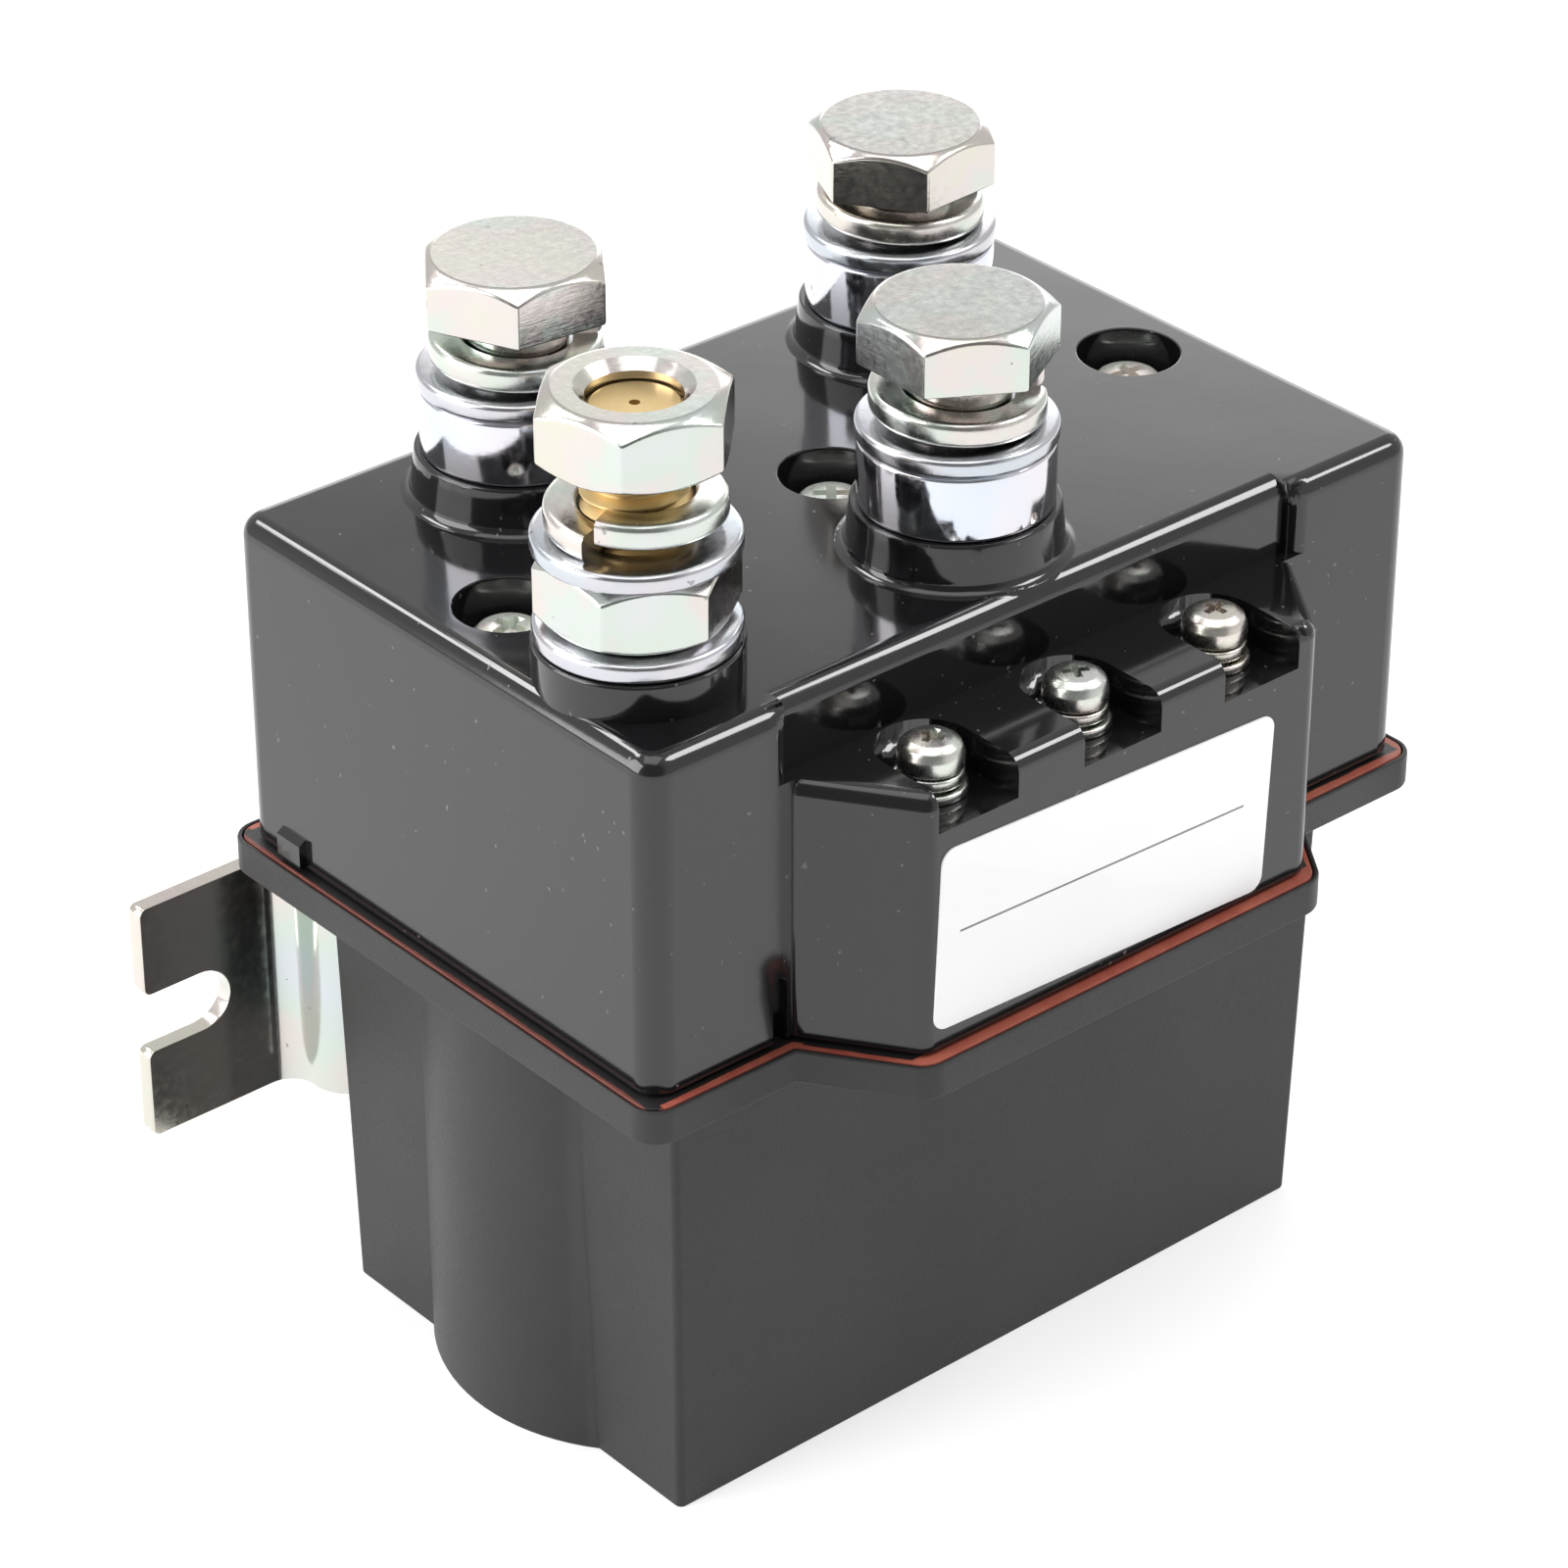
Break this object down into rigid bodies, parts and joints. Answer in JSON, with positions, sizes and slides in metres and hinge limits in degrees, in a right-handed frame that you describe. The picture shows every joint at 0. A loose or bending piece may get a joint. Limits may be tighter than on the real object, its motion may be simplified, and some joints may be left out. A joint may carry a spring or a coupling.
{
  "type": "DC contactor",
  "caption": "Reversing DC contactor: glossy moulded cover with bolted power terminals and a coil terminal block, matte housing with sealed solenoids, folded steel mounting strap.",
  "frame": {"origin": "centre of the housing's flat bottom face, midway between the two solenoid axes", "axes": "+X along the long side, from the stud's end to the other; +Y from the coil terminal block to the mounting strap; +Z from the housing's bottom to the power terminals"},
  "size_m": [0.091, 0.0637, 0.0918],
  "materials": {
    "gloss_black": "glossy black moulded plastic",
    "matte_black": "satin black moulded plastic, lightly textured",
    "red_rubber": "brick-red silicone rubber",
    "brown_phenolic": "brown phenolic moulding",
    "zinc_strip": "zinc-plated steel strip with a faint yellow and pink tint",
    "zinc_screw": "zinc-plated steel screw",
    "blank_label": "blank white film label",
    "nickel_post": "bright nickel plating",
    "zinc_hex": "zinc-plated steel with a faint iridescent tint",
    "zinc_washer": "zinc-plated steel washer",
    "spring_washer": "zinc-plated spring steel",
    "brass": "plain machined brass",
    "coil_screw": "nickel-plated steel",
    "copper": "plain copper bar",
    "silver_contact": "silver alloy contact rivet",
    "soft_iron": "zinc-plated soft iron",
    "white_nylon": "natural nylon",
    "copper_wire": "enamelled copper winding",
    "steel_rod": "bright steel"
  },
  "bodies": {
    "frame": {"cover": "gloss_black", "housing": "matte_black", "gasket": "red_rubber", "contact_base": "brown_phenolic", "mounting_strap": "zinc_strip", "strap_screws": "zinc_screw", "cover_screws": "zinc_screw", "label": "blank_label", "positive_post": "nickel_post", "output_post_left": "nickel_post", "output_post_right": "nickel_post", "terminal_bolts": "zinc_hex", "post_washers": "zinc_washer", "post_split_washers": "spring_washer", "negative_stud": "brass", "stud_lower_nut": "zinc_hex", "stud_top_nut": "zinc_hex", "stud_washers": "zinc_washer", "stud_split_washer": "spring_washer", "coil_screws": "coil_screw", "coil_split_washers": "coil_screw", "coil_flat_washers": "coil_screw", "coil_inserts": "brass", "positive_bar": "copper", "negative_bar": "copper", "output_bar_left": "copper", "output_bar_right": "copper", "fixed_contacts": "silver_contact", "yoke_left": "soft_iron", "yoke_right": "soft_iron", "top_plate_left": "soft_iron", "top_plate_right": "soft_iron", "core_left": "soft_iron", "core_right": "soft_iron", "bobbin_left": "white_nylon", "bobbin_right": "white_nylon", "winding_left": "copper_wire", "winding_right": "copper_wire", "return_spring_left": "steel_rod", "return_spring_right": "steel_rod"},
    "armature_left": {"plunger_left": "soft_iron", "rod_left": "steel_rod", "carrier_left": "white_nylon", "bridge_left": "copper", "moving_contacts_left": "silver_contact", "contact_washer_left": "white_nylon", "contact_spring_left": "steel_rod", "clip_left": "steel_rod"},
    "armature_right": {"plunger_right": "soft_iron", "rod_right": "steel_rod", "carrier_right": "white_nylon", "bridge_right": "copper", "moving_contacts_right": "silver_contact", "contact_washer_right": "white_nylon", "contact_spring_right": "steel_rod", "clip_right": "steel_rod"}
  },
  "joints": [
    {"name": "armature_left_slide", "type": "slide", "parent": "frame", "child": "armature_left", "axis": [0, 0, 1], "range_m": [-0.0025, 0], "stiffness_N_per_m": 800, "springref_m": 0.004, "deforming": ["return_spring_left"]},
    {"name": "armature_right_slide", "type": "slide", "parent": "frame", "child": "armature_right", "axis": [0, 0, 1], "range_m": [-0.0025, 0], "stiffness_N_per_m": 800, "springref_m": 0.004, "deforming": ["return_spring_right"]}
  ]
}
